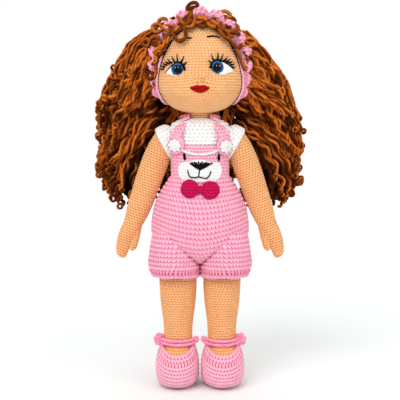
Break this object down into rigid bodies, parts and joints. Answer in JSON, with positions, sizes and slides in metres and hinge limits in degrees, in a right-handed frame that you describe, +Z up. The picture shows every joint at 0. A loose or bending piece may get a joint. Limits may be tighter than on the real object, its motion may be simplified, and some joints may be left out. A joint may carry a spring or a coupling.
{
  "type": "crocheted doll",
  "caption": "Soft standing crocheted doll in shorts overalls with turning head, swinging arms and folding legs.",
  "frame": {"origin": "on the floor, under the centre of the box", "axes": "+X to the doll's own left, -Y out of its face, +Z up"},
  "size_m": [0.205, 0.087, 0.3528],
  "materials": {
    "skin_yarn": "single crochet in matt cotton yarn",
    "pink_yarn": "single and ribbed crochet in matt cotton yarn",
    "white_yarn": "crochet and knots in matt cotton yarn",
    "crimson_yarn": "single crochet in matt cotton yarn",
    "red_yarn": "sewn satin stitches",
    "black_thread": "sewn stranded thread",
    "brown_chenille": "soft short-pile chenille strands with a slight sheen",
    "fibre_fill": "loose polyester fibre",
    "blue_eye_plastic": "clear gloss over a blue ring and a black pupil",
    "washer_plastic": "moulded, matt",
    "dowel_wood": "sanded, uncoated",
    "insole_card": "stiff uncoated card"
  },
  "bodies": {
    "torso": {"torso_skin": "skin_yarn", "torso_stuffing": "fibre_fill", "neck_dowel": "dowel_wood", "shoulder_thread": "white_yarn", "shirt_body": "white_yarn", "romper_body": "pink_yarn", "romper_bib": "pink_yarn", "bear_muzzle": "white_yarn", "bear_nose": "black_thread", "bear_mouth": "black_thread", "bear_eye_left": "black_thread", "bear_eye_right": "black_thread", "strap_left": "pink_yarn", "strap_right": "pink_yarn", "bear_ear_left": "pink_yarn", "bear_ear_right": "pink_yarn", "ear_puff_left": "white_yarn", "ear_puff_right": "white_yarn", "bib_piping": "white_yarn", "bow": "crimson_yarn", "bow_knot": "crimson_yarn"},
    "head": {"head_skin": "skin_yarn", "head_stuffing": "fibre_fill", "eye_left": "blue_eye_plastic", "eye_right": "blue_eye_plastic", "eye_washer_left": "washer_plastic", "eye_washer_right": "washer_plastic", "eye_white_left": "white_yarn", "eye_white_right": "white_yarn", "lashes_left": "black_thread", "lashes_right": "black_thread", "eyebrow_left": "black_thread", "eyebrow_right": "black_thread", "lips": "red_yarn", "wig_cap": "brown_chenille", "headband": "pink_yarn", "hair_fringe": "brown_chenille", "hair_left": "brown_chenille", "hair_right": "brown_chenille", "hair_back": "brown_chenille"},
    "arm_left": {"arm_left_skin": "skin_yarn", "arm_left_stuffing": "fibre_fill", "sleeve_left": "white_yarn"},
    "arm_right": {"arm_right_skin": "skin_yarn", "arm_right_stuffing": "fibre_fill", "sleeve_right": "white_yarn"},
    "leg_left": {"leg_left_skin": "skin_yarn", "leg_left_stuffing": "fibre_fill", "insole_left": "insole_card", "shoe_left": "pink_yarn", "shoe_strap_left": "pink_yarn", "shoe_flower_left": "pink_yarn", "romper_leg_left": "pink_yarn"},
    "leg_right": {"leg_right_skin": "skin_yarn", "leg_right_stuffing": "fibre_fill", "insole_right": "insole_card", "shoe_right": "pink_yarn", "shoe_strap_right": "pink_yarn", "shoe_flower_right": "pink_yarn", "romper_leg_right": "pink_yarn"}
  },
  "joints": [
    {"name": "head_turn", "type": "hinge", "parent": "torso", "child": "head", "pos_m": [0, -0.0035, 0.2588], "axis": [0, 0, 1], "range_deg": [-35, 35], "deforming": ["hair_left", "hair_right", "hair_back"]},
    {"name": "shoulder_left", "type": "hinge", "parent": "torso", "child": "arm_left", "pos_m": [0.0345, -0.0035, 0.2367], "axis": [-1, 0, 0], "range_deg": [-60, 120], "deforming": ["sleeve_left", "hair_left", "hair_right", "hair_back"]},
    {"name": "shoulder_right", "type": "hinge", "parent": "torso", "child": "arm_right", "pos_m": [-0.0345, -0.0035, 0.2367], "axis": [-1, 0, 0], "range_deg": [-60, 120], "deforming": ["sleeve_right", "hair_left", "hair_right", "hair_back"]},
    {"name": "hip_left", "type": "hinge", "parent": "torso", "child": "leg_left", "pos_m": [0.021, -0.0035, 0.1219], "axis": [-1, 0, 0], "range_deg": [-20, 75], "deforming": ["romper_leg_left", "romper_body"]},
    {"name": "hip_right", "type": "hinge", "parent": "torso", "child": "leg_right", "pos_m": [-0.021, -0.0035, 0.1219], "axis": [-1, 0, 0], "range_deg": [-20, 75], "deforming": ["romper_leg_right", "romper_body"]}
  ]
}
